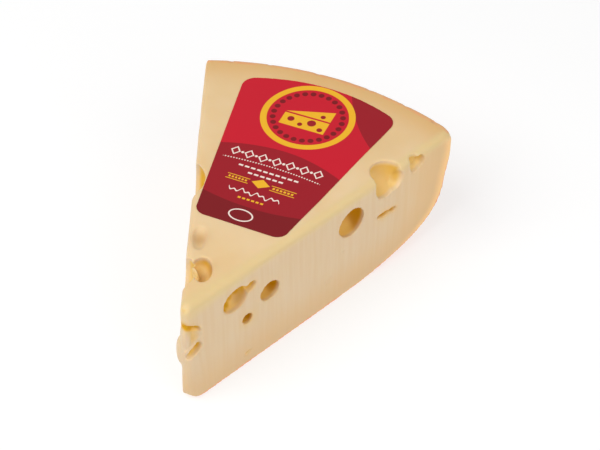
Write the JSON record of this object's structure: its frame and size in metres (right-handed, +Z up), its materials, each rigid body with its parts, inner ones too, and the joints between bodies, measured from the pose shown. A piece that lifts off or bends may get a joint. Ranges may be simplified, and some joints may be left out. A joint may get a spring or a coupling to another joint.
{
  "type": "cheese wedge",
  "caption": "Wedge of large-eyed semi-hard cheese cut from the lower half of a wheel, with a thin printed label lying on its flat top cut.",
  "frame": {"origin": "centre of the bounding box on the plane the wedge rests on", "axes": "+Z up through the thickness, +Y from the tip towards the rim along the middle of the wedge, +X to the right when the tip faces the viewer"},
  "size_m": [0.1156, 0.1462, 0.0543],
  "materials": {
    "cheese": "smooth waxy pale yellow paste, deeper gold inside the eyes, thin orange rind below and at the back",
    "label": "smooth red printed film or coated paper, slight sheen"
  },
  "bodies": {
    "root": {"cheese_wedge": "cheese", "label": "label"}
  },
  "joints": []
}
